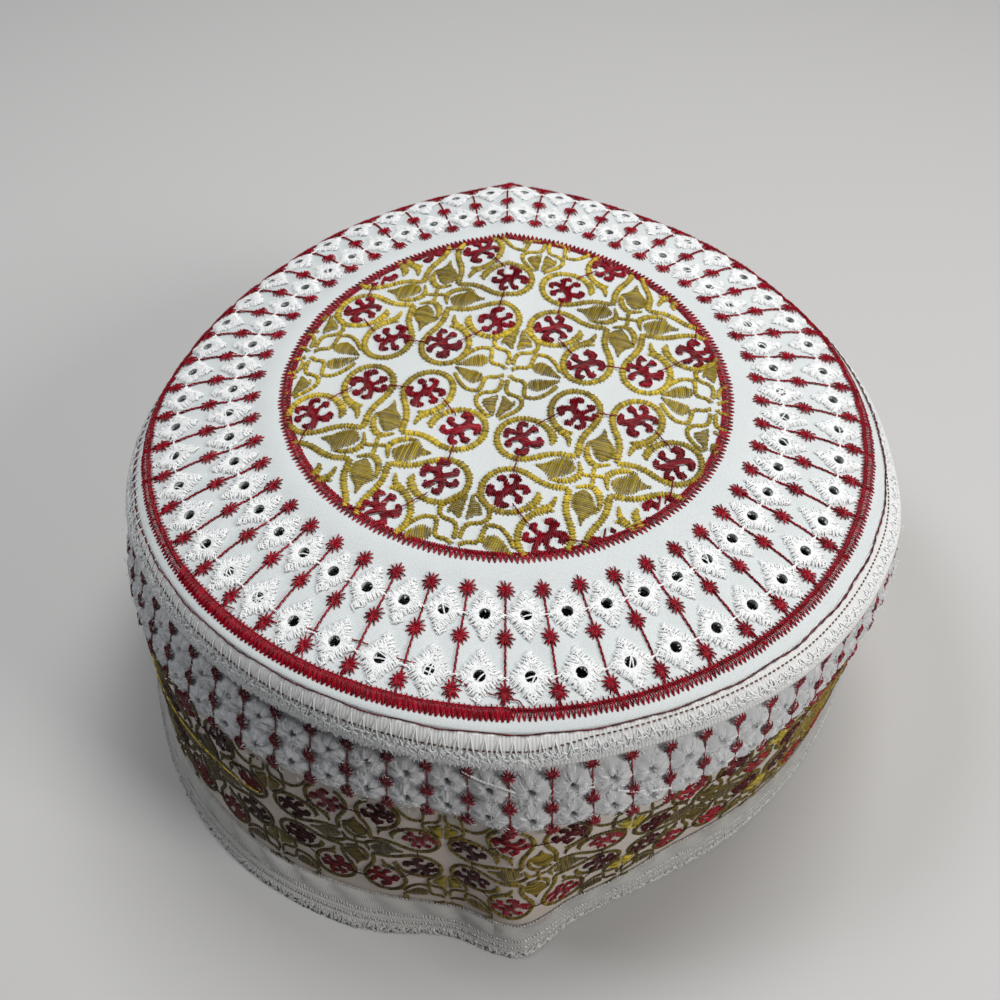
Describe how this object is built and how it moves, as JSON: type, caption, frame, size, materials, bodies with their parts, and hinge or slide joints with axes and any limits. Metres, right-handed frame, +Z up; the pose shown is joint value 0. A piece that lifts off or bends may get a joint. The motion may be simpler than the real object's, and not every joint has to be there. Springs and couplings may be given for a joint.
{
  "type": "embroidered prayer cap",
  "caption": "Round stiff cotton prayer cap with a flat crown, rolled welt and low upright band, pierced with eyelets and embroidered all over.",
  "frame": {"origin": "on the surface that the hem rests on, under the middle of the cap's outline", "axes": "+Z up through the crown; -Y towards the front fold, the side nearest the camera in the picture; +X to the right in the picture"},
  "size_m": [0.177, 0.1872, 0.0757],
  "materials": {
    "crown_top": "white cotton twill with crimson and gold silk stitches",
    "edge_welt": "white ribbed cotton, overcast",
    "side_band": "white cotton under lace stitches and a gold and crimson arabesque",
    "hem_band": "white quilted cotton binding"
  },
  "bodies": {
    "root": {"crown_top": "crown_top", "edge_welt": "edge_welt", "side_band": "side_band", "hem_band": "hem_band"}
  },
  "joints": []
}
